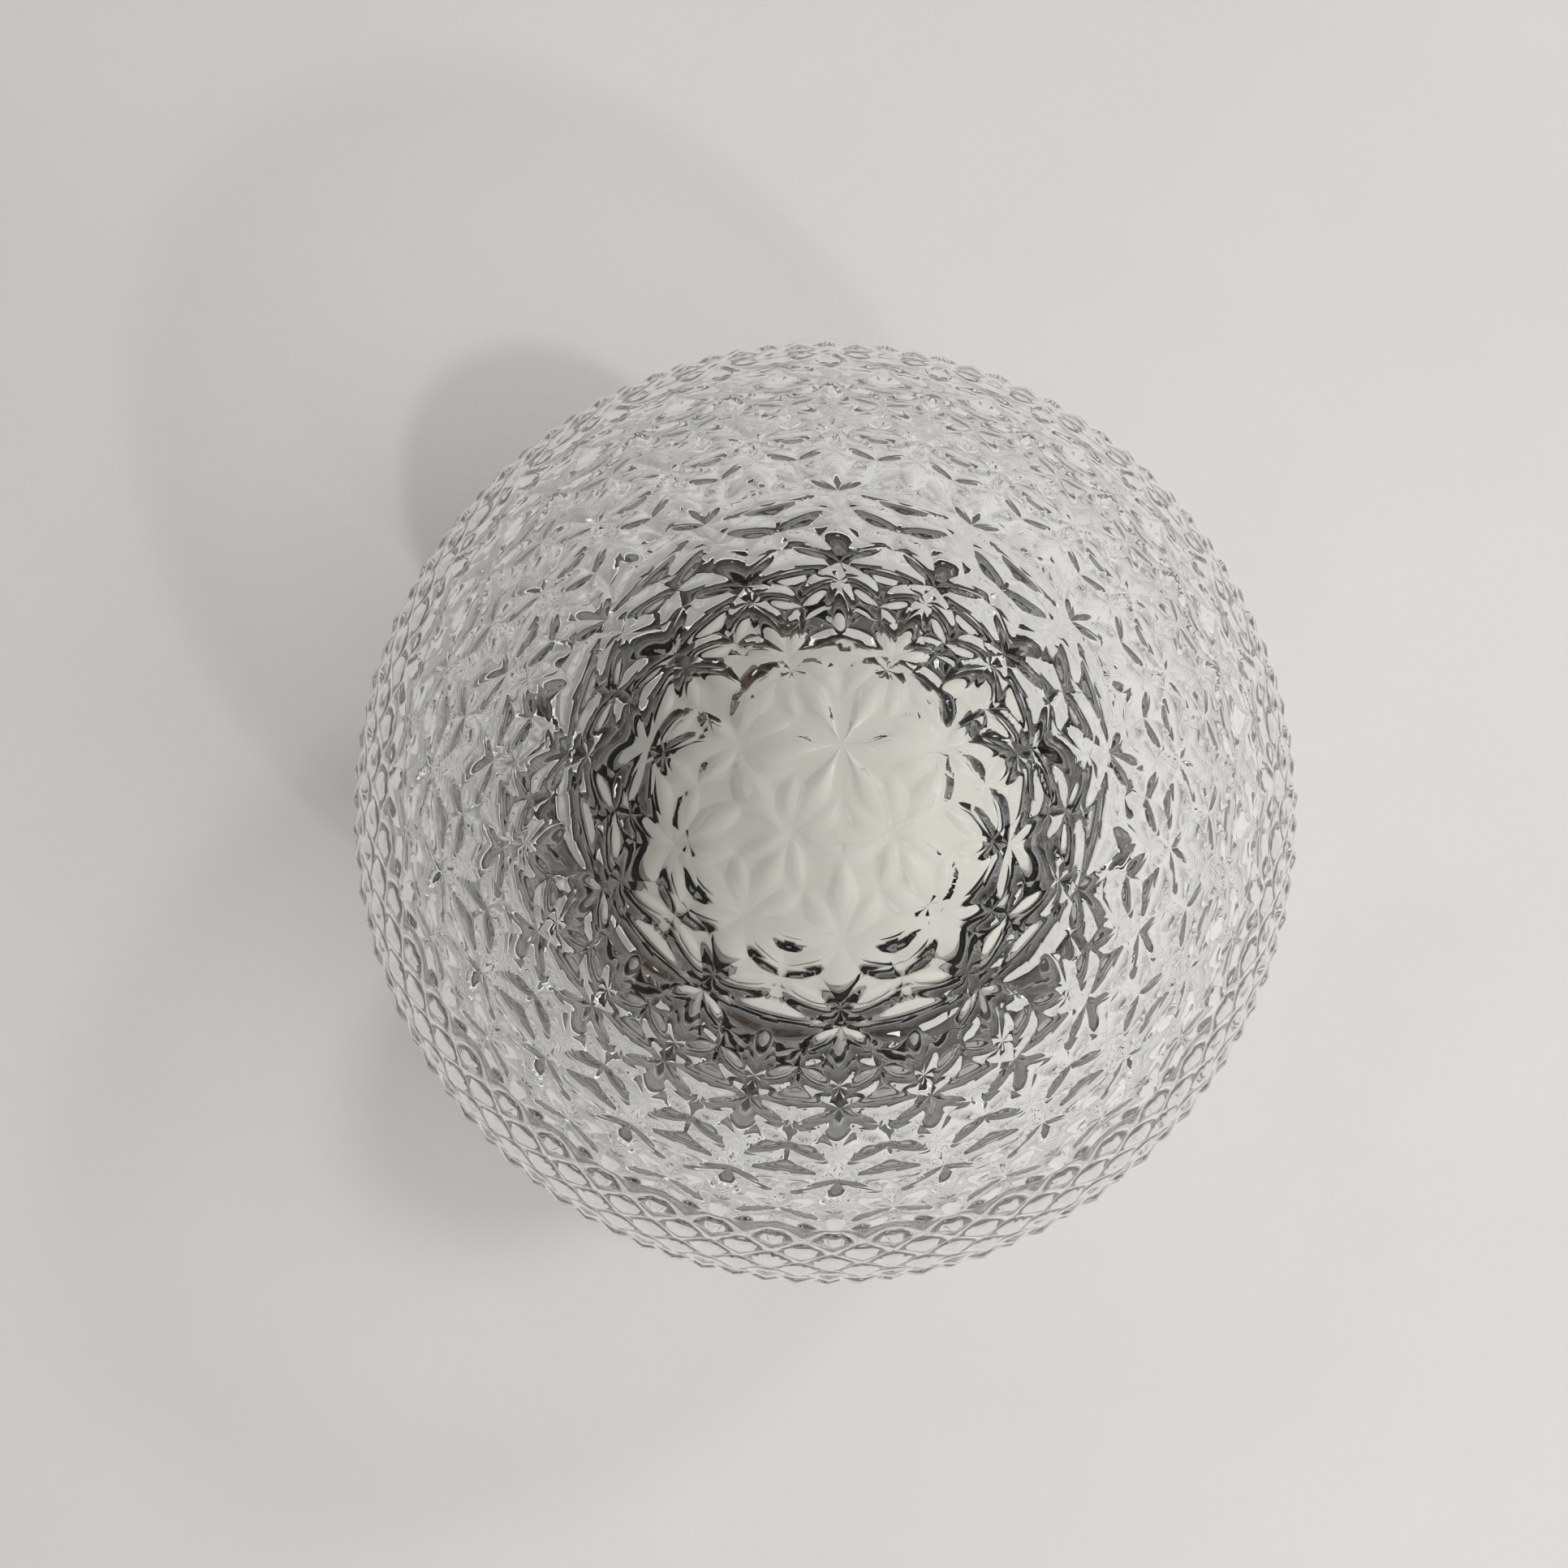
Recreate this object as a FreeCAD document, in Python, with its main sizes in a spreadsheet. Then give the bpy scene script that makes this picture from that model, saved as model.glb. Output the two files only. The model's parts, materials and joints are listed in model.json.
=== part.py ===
import FreeCAD, Part
import math
import os
import Sketcher

# A flush-mount globe light, in millimetres.  The origin is the centre of the mounting face and +Z
# points away from the surface it is fixed to, through the lampholder and the bulb to the globe's pole.

doc = FreeCAD.newDocument("globe_light")

driving = {
    # pressed-glass globe
    "globe_radius": 75.0,
    "dome_height": 67.5,
    "back_height": 44.0,
    "glass_wall": 5.5,
    "neck_radius": 42.25,
    "neck_wall": 4.0,
    "neck_length": 12.0,
    # rubber ring under the globe's neck
    "seal_thickness": 2.0,
    "seal_lip_height": 3.0,
    "seal_lip_wall": 0.95,
    # spun base and the foam ring behind it
    "housing_radius": 68.0,
    "housing_height": 26.5,
    "housing_edge": 9.0,
    "sheet_wall": 1.2,
    "gasket_thickness": 1.5,
    "gasket_width": 2.7,
    # ring that takes the globe's neck
    "collar_height": 10.0,
    "collar_wall": 2.45,
    "collar_flange": 5.0,
    "rivet_radius": 1.5,
    "rivet_head_radius": 2.3,
    "rivet_head_height": 1.0,
    # polished dish round the bulb
    "reflector_rise": 3.0,
    "reflector_wall": 0.8,
    "dish_screw_radius": 1.5,
    "dish_screw_head": 2.6,
    "screw_head_height": 1.6,
    # mounting strap with its wing, ears and slots
    "strap_thickness": 2.0,
    "strap_width": 25.0,
    "strap_setback": 6.5,
    "wing_margin": 1.0,
    "ear_width": 14.0,
    "ear_height": 15.0,
    "slot_spacing": 88.0,
    "slot_length": 12.0,
    "slot_width": 4.5,
    "cable_entry_reach": 28.0,
    "cable_bore_radius": 3.6,
    "grommet_wall": 1.8,
    "grommet_flange": 2.1,
    "grommet_height": 1.6,
    "grommet_round": 0.8,
    "side_screw_level": 9.0,
    "side_screw_radius": 1.9,
    "side_screw_head": 4.5,
    "side_screw_grip": 4.0,
    # bridge that carries the lampholder
    "bridge_level": 6.5,
    "bridge_thickness": 1.5,
    "bridge_width": 22.0,
    "bridge_foot": 10.0,
    # porcelain lampholder
    "holder_radius": 20.0,
    "holder_height": 32.0,
    "holder_floor": 7.0,
    "holder_bore": 14.6,
    "holder_edge": 1.5,
    "holder_screw_reach": 9.0,
    "holder_screw_radius": 1.7,
    "holder_screw_head": 3.2,
    "holder_screw_grip": 4.0,
    "contact_well_radius": 5.2,
    "contact_well_depth": 5.0,
    "contact_radius": 4.7,
    "contact_thickness": 1.5,
    "contact_stem_radius": 1.6,
    "contact_travel": 1.0,
    "spring_radius": 2.9,
    "spring_wire": 0.6,
    "spring_turns": 4.0,
    "spring_ease": 0.02,
    "port_depth": 9.0,
    "wire_stop": 1.5,
    "seat_step": 1.5,
    "side_contact_drop": 12.0,
    "side_contact_wall": 1.6,
    "side_contact_bend": 0.7,
    "contact_lip": 0.5,
    # screw shell and the cap that turns in it
    "thread_pitch": 3.63,
    "thread_count": 5.0,
    "cap_radius": 13.1,
    "cap_thread_depth": 0.85,
    "shell_wall": 0.4,
    "shell_thread_depth": 0.65,
    "cap_skirt": 0.8,
    "shell_margin": 1.5,
    "thread_lead_in": 2.2,
    # bulb
    "tip_radius": 4.5,
    "tip_height": 2.0,
    "insulator_height": 3.0,
    "insulator_spigot": 2.0,
    "insulator_ledge": 1.0,
    "cap_height": 22.0,
    "cap_wall": 0.35,
    "cap_lead_in": 1.0,
    "stem_radius": 14.6,
    "body_height": 24.0,
    "seam_radius": 27.0,
    "bulb_radius": 30.0,
    "diffuser_wall": 1.5,
    "body_wall": 2.4,
    "board_thickness": 1.6,
    "board_shelf": 2.0,
    "chip_ring": 15.0,
    "chip_size": 3.4,
    "tip_round": 1.2,
    "spigot_depth": 8.0,
    "spigot_wall": 1.8,
    "chip_height": 0.7,
    "board_plate_width": 13.0,
    "board_plate_thickness": 1.2,
    "capacitor_radius": 3.2,
    "capacitor_length": 9.0,
    "capacitor_lift": 3.0,
    "coil_radius": 3.0,
    "coil_length": 6.0,
    "coil_lift": 4.0,
    "driver_drop": 6.0,
    "driver_headroom": 1.0,
    # terminal block and wiring
    "block_rim_gap": 2.86,
    "block_length": 14.0,
    "block_height": 16.0,
    "pole_pitch": 8.0,
    "first_pole_standoff": 17.0,
    "insert_wall": 0.7,
    "insert_inset": 1.0,
    "insert_reach": 5.0,
    "insert_gap": 0.2,
    "tap_spacing": 8.0,
    "tap_radius": 1.25,
    "screw_well_radius": 1.7,
    "terminal_screw_radius": 1.2,
    "terminal_screw_head": 1.55,
    "driver_slot_width": 0.5,
    "driver_slot_depth": 0.8,
    "block_screw_radius": 1.3,
    "block_screw_head": 2.0,
    "block_screw_head_height": 1.4,
    "wire_radius": 1.1,
    "wire_level": 11.5,
    "wire_port_reach": 6.0,
    "terminal_radius": 2.3,
    "terminal_length": 6.0,
    "earth_screw_radius": 1.95,
    "earth_screw_head": 3.6,
    "earth_screw_head_height": 2.4,
    "earth_washer_radius": 5.0,
    "washer_thickness": 1.0,
    "earth_lead": 8.0,
    "earth_clamp_start": 8.0,
    "earth_clamp_end": 4.0,
    # clearances
    "slide_gap": 0.3,
    "screw_gap": 0.1,
    "thread_gap": 0.25,
    "pass_gap": 0.6,
    "light_gap": 0.2,
    "seat_gap": 0.05,
    "head_gap": 0.4,
    # how far a cutting piece runs past the faces it goes through
    "overshoot": 1.0,
}

# counts, and what is allowed when a wire is checked against its length
rivet_count = 3
chip_count = 12
pole_count = 3
wire_bend_share = 0.45
volume_slack = 0.01

sheet = doc.addObject("Spreadsheet::Sheet", "dims")
for row, (alias, number) in enumerate(driving.items(), start=1):
    sheet.set("A%d" % row, alias.replace("_", " "))
    sheet.set("B%d" % row, repr(number))
    sheet.setAlias("B%d" % row, alias)
doc.recompute()


class Size:
    # A length together with the sheet expression that gives it.

    def __init__(self, value, text):
        self.value = value
        self.text = text

    def joined(self, other, sign, value):
        return Size(value, "(%s %s %s)" % (self.text, sign, other.text))

    def __add__(self, other):
        other = as_size(other)
        return self.joined(other, "+", self.value + other.value)

    def __sub__(self, other):
        other = as_size(other)
        return self.joined(other, "-", self.value - other.value)

    def __mul__(self, other):
        other = as_size(other)
        return self.joined(other, "*", self.value * other.value)

    def __truediv__(self, other):
        other = as_size(other)
        return self.joined(other, "/", self.value / other.value)

    def __neg__(self):
        return as_size(0) - self


def as_size(number):
    if isinstance(number, Size):
        return number
    return Size(float(number), repr(float(number)))


def root(size):
    return Size(math.sqrt(size.value), "sqrt(%s)" % size.text)


class Dims:
    # Every alias of the sheet, as a Size.
    pass


dims = Dims()
for alias in driving:
    setattr(dims, alias, Size(float(sheet.get(alias)), "dims." + alias))

# Levels up the axis, each worked out from the pieces below it
housing_top = dims.gasket_thickness + dims.housing_height
dish_top = housing_top + dims.reflector_wall
neck_foot = housing_top + dims.seal_thickness
shoulder = neck_foot + dims.neck_length
equator = shoulder + dims.back_height
holder_base = dims.bridge_level + dims.bridge_thickness
socket_floor = holder_base + dims.holder_floor
holder_top = holder_base + dims.holder_height
well_floor = socket_floor - dims.contact_well_depth
contact_top = socket_floor + dims.contact_thickness + dims.light_gap
tip_level = contact_top + dims.slide_gap
insulator_level = tip_level + dims.tip_height
cap_level = insulator_level + dims.insulator_height
body_level = cap_level + dims.cap_height
seam_level = body_level + dims.body_height
bulb_centre = seam_level + root(dims.bulb_radius * dims.bulb_radius - dims.seam_radius * dims.seam_radius)
board_level = seam_level - dims.board_thickness - dims.light_gap

# Radii shared by pieces that fit each other
neck_bore = dims.neck_radius - dims.neck_wall
collar_bore = dims.neck_radius + dims.slide_gap
seal_lip_radius = neck_bore - dims.slide_gap
seal_bore = seal_lip_radius - dims.seal_lip_wall
holder_hole = dims.holder_radius + dims.pass_gap
rivet_reach = collar_bore + dims.collar_wall + dims.rivet_head_radius + dims.light_gap
housing_bore = dims.housing_radius - dims.sheet_wall
gasket_rim = dims.housing_radius - dims.light_gap
gasket_bore = gasket_rim - dims.gasket_width
ear_face = gasket_bore - dims.pass_gap
strap_half_length = ear_face - dims.strap_setback
earth_screw_reach = ear_face - dims.strap_thickness - dims.earth_washer_radius - dims.contact_lip
bridge_leg = dims.holder_radius + dims.holder_edge
dish_screw_reach = bridge_leg + dims.bridge_thickness + dims.bridge_foot / 2
reflector_flat = dish_screw_reach + dims.dish_screw_head + dims.head_gap
reflector_radius = seal_bore - dims.pass_gap - dims.head_gap
first_pole = dims.bridge_width / 2 + dims.first_pole_standoff
block_corner = first_pole + dims.pole_pitch * (pole_count - 0.5) + dims.wing_margin
block_end = root(gasket_bore * gasket_bore - block_corner * block_corner) - dims.block_rim_gap
block_start = block_end - dims.block_length
insert_bore = dims.wire_radius + dims.insert_gap
insert_radius = insert_bore + dims.insert_wall
cap_bore = dims.cap_radius - dims.cap_thread_depth - dims.cap_wall
spigot_radius = cap_bore - dims.screw_gap
shell_bore = dims.cap_radius + dims.thread_gap
shell_radius = shell_bore + dims.shell_thread_depth + dims.shell_wall

block_centre = block_start + dims.block_length / 2
block_screw_y = first_pole + dims.pole_pitch / 2
block_side = first_pole - dims.pole_pitch / 2
block_width = dims.pole_pitch * pole_count
insert_stop = block_start + dims.insert_reach
screw_ease = dims.screw_gap / 2
port_start = dims.holder_radius - dims.port_depth
wire_end = port_start + dims.wire_stop
contact_half = dims.wire_port_reach - dims.terminal_radius - dims.head_gap
side_contact_height = dims.holder_height - dims.holder_floor - dims.side_contact_drop

subparts = []


def keep(piece, node):
    piece.Label = node
    subparts.append(piece)
    return piece


def bind(piece, prop, size):
    piece.setExpression(prop, as_size(size).text)


def place(piece, at):
    for axis, size in zip("xyz", at):
        bind(piece, "Placement.Base." + axis, size)


def solid(kind, name, at=(0, 0, 0), turn=None, **sizes):
    # A Part primitive with its sizes and its place bound to the sheet.
    piece = doc.addObject("Part::" + kind, name)
    for prop, size in sizes.items():
        bind(piece, prop, size)
    if turn:
        piece.Placement.Rotation = FreeCAD.Rotation(FreeCAD.Vector(*turn[0]), turn[1])
    place(piece, at)
    return piece


along_x = ((0, 1, 0), 90)
along_y = ((1, 0, 0), -90)


def rod(name, at, radius, length, turn=None):
    return solid("Cylinder", name, at, turn, Radius=radius, Height=length)


def bored(name, x, y, level, wall, radius):
    # A hole right through a flat wall that starts at a level.
    return rod(name, (x, y, level - dims.overshoot), radius, wall + dims.overshoot * 2)


def block(name, low, size):
    return solid("Box", name, low, Length=size[0], Width=size[1], Height=size[2])


def fuse(name, *pieces):
    joined = doc.addObject("Part::MultiFuse", name)
    joined.Shapes = list(pieces)
    return joined


def cut(name, base, *tools):
    result = doc.addObject("Part::Cut", name)
    result.Base = base
    result.Tool = tools[0] if len(tools) == 1 else fuse(name + "_tools", *tools)
    return result


def group(name, pieces):
    gathered = doc.addObject("Part::Compound", name)
    gathered.Links = list(pieces)
    return gathered


def plane_of(body, role):
    for feature in body.Origin.OriginFeatures:
        if feature.Role == role:
            return feature


def arc_between(start, end, radius, way):
    # The arc from start to end that turns left or right, as the circle's own turning sense wants it.
    chord = end - start
    middle = start + chord * 0.5
    rise = math.sqrt(max(radius * radius - chord.Length * chord.Length / 4, 0.0))
    normal = FreeCAD.Vector(-chord.y, chord.x, 0).normalize()
    centre = middle + normal * (rise if way == "left" else -rise)
    first, last = (start, end) if way == "left" else (end, start)
    angles = [math.atan2(point.y - centre.y, point.x - centre.x) for point in (first, last)]
    if angles[1] < angles[0]:
        angles[1] += 2 * math.pi
    circle = Part.Circle(centre, FreeCAD.Vector(0, 0, 1), radius)
    return Part.ArcOfCircle(circle, angles[0], angles[1])


def pin_vertex(sketch, edge, end, point):
    # Ties one end of an edge to the sheet, or to an axis where the value is plainly zero.
    for kind, size, axis in (("DistanceX", point[0], -2), ("DistanceY", point[1], -1)):
        if not isinstance(size, Size) and size == 0:
            sketch.addConstraint(Sketcher.Constraint("PointOnObject", edge, end, axis))
            continue
        size = as_size(size)
        number = sketch.addConstraint(Sketcher.Constraint(kind, -1, 1, edge, end, size.value))
        sketch.setExpression("Constraints[%d]" % number, size.text)


def draw(sketch, outline):
    # A closed outline.  Each entry is (across, up), or (across, up, way, radius) where the edge that
    # leaves it is an arc.
    points = [FreeCAD.Vector(as_size(p[0]).value, as_size(p[1]).value, 0) for p in outline]
    edges = []
    for index, entry in enumerate(outline):
        start = points[index]
        end = points[(index + 1) % len(points)]
        if len(entry) == 2:
            edges.append((sketch.addGeometry(Part.LineSegment(start, end)), 1, 2))
            continue
        way, radius = entry[2], as_size(entry[3])
        edge = sketch.addGeometry(arc_between(start, end, radius.value, way))
        edges.append((edge, 1, 2) if way == "left" else (edge, 2, 1))
        number = sketch.addConstraint(Sketcher.Constraint("Radius", edge, radius.value))
        sketch.setExpression("Constraints[%d]" % number, radius.text)
    for index, (edge, start, end) in enumerate(edges):
        following = edges[(index + 1) % len(edges)]
        sketch.addConstraint(Sketcher.Constraint("Coincident", edge, end, following[0], following[1]))
        pin_vertex(sketch, edge, start, outline[index])


def turned(name, outline):
    # A body turned about the Z axis from an outline of (radius, height) points.
    body = doc.addObject("PartDesign::Body", name)
    sketch = body.newObject("Sketcher::SketchObject", name + "_profile")
    sketch.AttachmentSupport = [(plane_of(body, "XZ_Plane"), "")]
    sketch.MapMode = "FlatFace"
    draw(sketch, outline)
    spin = body.newObject("PartDesign::Revolution", name + "_turned")
    spin.Profile = sketch
    spin.ReferenceAxis = (sketch, ["V_Axis"])
    spin.Angle = 360
    body.Tip = spin
    return body


def ringed(count, radius):
    # Places spread evenly round the axis, as sheet-bound pairs.
    for index in range(count):
        angle = math.radians(90 + 360 * index / count)
        yield radius * round(math.cos(angle), 9), radius * round(math.sin(angle), 9)


# The globe.

def half_egg(name, radius, up, down_to, neck):
    # Two half ellipsoids that meet at the equator; the lower one ends level with the shoulder,
    # where its radius is that of the neck.
    upper = solid("Ellipsoid", name + "_dome", (0, 0, equator), Radius1=up, Radius2=radius)
    upper.Angle1 = 0
    upper.Angle2 = 90
    ratio = neck / radius
    depth = down_to / root(as_size(1) - ratio * ratio)
    lower = solid("Ellipsoid", name + "_back", (0, 0, equator), Radius1=depth, Radius2=radius)
    lower.setExpression("Angle1", "-acos(%s)" % ratio.text)
    lower.Angle2 = 0
    return [upper, lower]


def make_globe():
    outer = half_egg("globe_outer", dims.globe_radius, dims.dome_height, dims.back_height, dims.neck_radius)
    outer.append(rod("globe_neck", (0, 0, neck_foot), dims.neck_radius, dims.neck_length))
    inner_radius = dims.globe_radius - dims.glass_wall
    inner_height = dims.dome_height - dims.glass_wall
    inner = half_egg("globe_inner", inner_radius, inner_height, dims.back_height, neck_bore)
    inner.append(rod("globe_bore", (0, 0, neck_foot - dims.overshoot), neck_bore,
                     dims.neck_length + dims.overshoot))
    keep(cut("glass_globe", fuse("globe_mass", *outer), fuse("globe_hollow", *inner)), "glass_globe")


def make_neck_seal():
    foot = dims.neck_radius - dims.seat_gap
    lip_top = neck_foot + dims.seal_lip_height
    keep(turned("neck_seal", [
        (seal_bore, housing_top),
        (foot, housing_top),
        (foot, neck_foot),
        (seal_lip_radius, neck_foot),
        (seal_lip_radius, lip_top),
        (seal_bore, lip_top),
    ]), "neck_seal")


# The base.

def make_housing():
    edge = dims.housing_edge
    inner_edge = edge - dims.sheet_wall
    rim = dims.gasket_thickness
    ceiling = housing_top - dims.sheet_wall
    shell = turned("housing_shell", [
        (dims.housing_radius, rim),
        (dims.housing_radius, housing_top - edge, "left", edge),
        (dims.housing_radius - edge, housing_top),
        (holder_hole, housing_top),
        (holder_hole, ceiling),
        (dims.housing_radius - edge, ceiling, "right", inner_edge),
        (housing_bore, housing_top - edge),
        (housing_bore, rim),
    ])
    reach = dims.housing_radius + dims.overshoot
    holes = [rod("side_hole", (0, -reach, dims.side_screw_level),
                 dims.side_screw_radius + dims.light_gap, reach * 2, along_y)]
    holes += [bored("rivet_hole", x, y, ceiling, dims.sheet_wall, dims.rivet_radius + dims.screw_gap)
              for x, y in ringed(rivet_count, rivet_reach)]
    holes += [bored("dish_hole", dish_screw_reach * side, 0, ceiling, dims.sheet_wall,
                    dims.dish_screw_radius + dims.screw_gap) for side in (-1, 1)]
    keep(cut("base_housing", shell, *holes), "base_housing")


def make_gasket():
    keep(turned("mounting_gasket", [
        (gasket_bore, 0),
        (gasket_rim, 0),
        (gasket_rim, dims.gasket_thickness),
        (gasket_bore, dims.gasket_thickness),
    ]), "mounting_gasket")


def make_collar():
    wall = collar_bore + dims.collar_wall
    top = housing_top + dims.collar_height
    flange_top = housing_top + dims.sheet_wall
    ring = turned("collar_ring", [
        (collar_bore, housing_top),
        (wall + dims.collar_flange, housing_top),
        (wall + dims.collar_flange, flange_top),
        (wall, flange_top),
        (wall, top - dims.sheet_wall, "left", dims.sheet_wall),
        (wall - dims.sheet_wall, top),
        (collar_bore, top),
    ])
    holes = [bored("collar_hole", x, y, housing_top, dims.sheet_wall, dims.rivet_radius + dims.screw_gap)
             for x, y in ringed(rivet_count, rivet_reach)]
    keep(cut("glass_collar", ring, *holes), "glass_collar")


def make_rivets():
    bottom = housing_top - dims.sheet_wall - dims.rivet_head_height
    rivets = []
    for x, y in ringed(rivet_count, rivet_reach):
        length = (dims.sheet_wall + dims.rivet_head_height) * 2
        pieces = [rod("rivet_shank", (x, y, bottom), dims.rivet_radius, length)]
        for level in (bottom, housing_top + dims.sheet_wall):
            pieces.append(rod("rivet_head", (x, y, level), dims.rivet_head_radius, dims.rivet_head_height))
        rivets.append(fuse("collar_rivet", *pieces))
    keep(group("collar_rivets", rivets), "collar_rivets")


def make_reflector():
    wall = dims.reflector_wall
    rim = housing_top + dims.reflector_rise
    disc = turned("reflector_disc", [
        (holder_hole, housing_top),
        (reflector_flat, housing_top),
        (reflector_radius, rim),
        (reflector_radius, rim + wall),
        (reflector_flat, dish_top),
        (holder_hole, dish_top),
    ])
    holes = [bored("reflector_hole", dish_screw_reach * side, 0, housing_top, wall,
                   dims.dish_screw_radius + dims.screw_gap) for side in (-1, 1)]
    keep(cut("reflector_dish", disc, *holes), "reflector_dish")


def make_reflector_screws():
    length = dims.reflector_wall + dims.sheet_wall + dims.bridge_thickness + dims.overshoot
    screws = []
    for side in (-1, 1):
        x = dish_screw_reach * side
        shank = rod("dish_shank", (x, 0, dish_top - length), dims.dish_screw_radius, length)
        head = rod("dish_head", (x, 0, dish_top), dims.dish_screw_head, dims.screw_head_height)
        screws.append(fuse("dish_screw", shank, head))
    keep(group("reflector_screws", screws), "reflector_screws")


# The mounting strap.

def make_slot(name, y):
    half = dims.slot_width / 2
    straight = dims.slot_length - dims.slot_width
    height = dims.strap_thickness + dims.overshoot * 2
    middle = block(name, (-half, y - straight / 2, -dims.overshoot), (dims.slot_width, straight, height))
    ends = [bored(name + "_end", 0, y + straight / 2 * side, as_size(0), dims.strap_thickness, half)
            for side in (-1, 1)]
    return fuse(name + "_slot", middle, *ends)


def make_bracket():
    thick = dims.strap_thickness
    half = dims.strap_width / 2
    length = strap_half_length * 2
    pieces = [block("strap", (-half, -strap_half_length, 0), (dims.strap_width, length, thick))]
    wing_reach = block_start + dims.block_length
    pieces.append(block("wing", (0, block_side - dims.wing_margin, 0),
                        (wing_reach, block_width + dims.wing_margin * 2, thick)))
    pieces.append(block("tongue", (-dims.ear_width / 2, -ear_face, 0),
                        (dims.ear_width, ear_face * 2, thick)))
    for side in (-1, 1):
        low = ear_face - thick if side > 0 else -ear_face
        pieces.append(block("ear", (-dims.ear_width / 2, low, 0), (dims.ear_width, thick, dims.ear_height)))
    holes = [make_slot("screw_slot", dims.slot_spacing / 2 * side) for side in (-1, 1)]
    floor = as_size(0)
    holes.append(bored("cable_hole", 0, -dims.cable_entry_reach, floor, thick,
                       dims.cable_bore_radius + dims.grommet_wall + dims.screw_gap))
    holes.append(bored("earth_hole", 0, earth_screw_reach, floor, thick,
                       dims.earth_screw_radius + dims.seat_gap))
    holes.append(bored("block_hole", block_centre, block_screw_y, floor, thick,
                       dims.block_screw_radius + dims.seat_gap))
    reach = ear_face + dims.overshoot
    holes.append(rod("ear_holes", (0, -reach, dims.side_screw_level),
                     dims.side_screw_radius + dims.seat_gap, reach * 2, along_y))
    keep(cut("mounting_bracket", fuse("bracket_plate", *pieces), *holes), "mounting_bracket")


def make_side_screws():
    # Hand screws through the housing's wall into the strap's ears.
    outside = dims.housing_radius + dims.seat_gap
    inside = ear_face - dims.strap_thickness - dims.contact_lip
    screws = []
    for side in (-1, 1):
        low = inside if side > 0 else -outside
        shank = rod("side_shank", (0, low, dims.side_screw_level), dims.side_screw_radius,
                    outside - inside, along_y)
        low = outside if side > 0 else -outside - dims.side_screw_grip
        head = rod("side_head", (0, low, dims.side_screw_level), dims.side_screw_head,
                   dims.side_screw_grip, along_y)
        screws.append(fuse("side_screw", shank, head))
    keep(group("side_screws", screws), "side_screws")


def make_grommet():
    sleeve = dims.cable_bore_radius + dims.grommet_wall
    flange = sleeve + dims.grommet_flange
    top = dims.strap_thickness + dims.grommet_height
    ring = turned("cable_grommet", [
        (dims.cable_bore_radius, 0),
        (sleeve, 0),
        (sleeve, dims.strap_thickness),
        (flange, dims.strap_thickness),
        (flange, top - dims.grommet_round, "left", dims.grommet_round),
        (flange - dims.grommet_round, top),
        (dims.cable_bore_radius, top),
    ])
    place(ring, (0, -dims.cable_entry_reach, 0))
    keep(ring, "cable_grommet")


# The lampholder.

def make_bridge():
    wall = dims.bridge_thickness
    half = dims.bridge_width / 2
    leg = bridge_leg
    ceiling = housing_top - dims.sheet_wall
    floor = block("bridge_floor", (-leg - wall, -half, dims.bridge_level),
                  ((leg + wall) * 2, dims.bridge_width, wall))
    pieces = [floor]
    for side in (-1, 1):
        low = leg if side > 0 else -leg - wall
        pieces.append(block("bridge_leg", (low, -half, dims.bridge_level),
                            (wall, dims.bridge_width, ceiling - dims.bridge_level)))
        low = leg if side > 0 else -leg - wall - dims.bridge_foot
        pieces.append(block("bridge_foot", (low, -half, ceiling - wall),
                            (dims.bridge_foot + wall, dims.bridge_width, wall)))
    holes = []
    for side in (-1, 1):
        holes.append(bored("foot_hole", dish_screw_reach * side, 0, ceiling - wall, wall,
                           dims.dish_screw_radius + dims.seat_gap))
        holes.append(bored("floor_hole", dims.holder_screw_reach * side, 0, dims.bridge_level, wall,
                           dims.holder_screw_radius + screw_ease))
    keep(cut("lampholder_bridge", fuse("bridge_strip", *pieces), *holes), "lampholder_bridge")


def make_holder():
    edge = dims.holder_edge
    porcelain = turned("porcelain", [
        (0, holder_base),
        (dims.holder_radius, holder_base),
        (dims.holder_radius, holder_top - edge, "left", edge),
        (dims.holder_radius - edge, holder_top),
        (dims.holder_bore, holder_top),
        (dims.holder_bore, socket_floor),
        (dims.contact_well_radius, socket_floor),
        (dims.contact_well_radius, well_floor),
        (0, well_floor),
    ])
    holes = []
    for side in (-1, 1):
        holes.append(rod("holder_screw_hole",
                         (dims.holder_screw_reach * side, 0, holder_base - dims.overshoot),
                         dims.holder_screw_radius + screw_ease, dims.holder_screw_grip + dims.seat_step))
        holes.append(rod("wire_port", (dims.wire_port_reach * side, port_start, dims.wire_level),
                         dims.terminal_radius + dims.screw_gap, dims.holder_radius, along_y))
    slot_half = contact_half + dims.light_gap
    holes.append(block("side_contact_slot", (-slot_half, dims.holder_bore - dims.pass_gap, socket_floor),
                       (slot_half * 2, dims.side_contact_wall, side_contact_height + dims.contact_lip)))
    keep(cut("lampholder_body", porcelain, *holes), "lampholder_body")


def make_holder_screws():
    head_height = dims.screw_head_height + dims.head_gap
    screws = []
    for side in (-1, 1):
        x = dims.holder_screw_reach * side
        shank = rod("holder_shank", (x, 0, dims.bridge_level), dims.holder_screw_radius,
                    dims.bridge_thickness + dims.holder_screw_grip)
        head = rod("holder_head", (x, 0, dims.bridge_level - head_height), dims.holder_screw_head,
                   head_height)
        screws.append(fuse("holder_screw", shank, head))
    keep(group("lampholder_screws", screws), "lampholder_screws")


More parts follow.
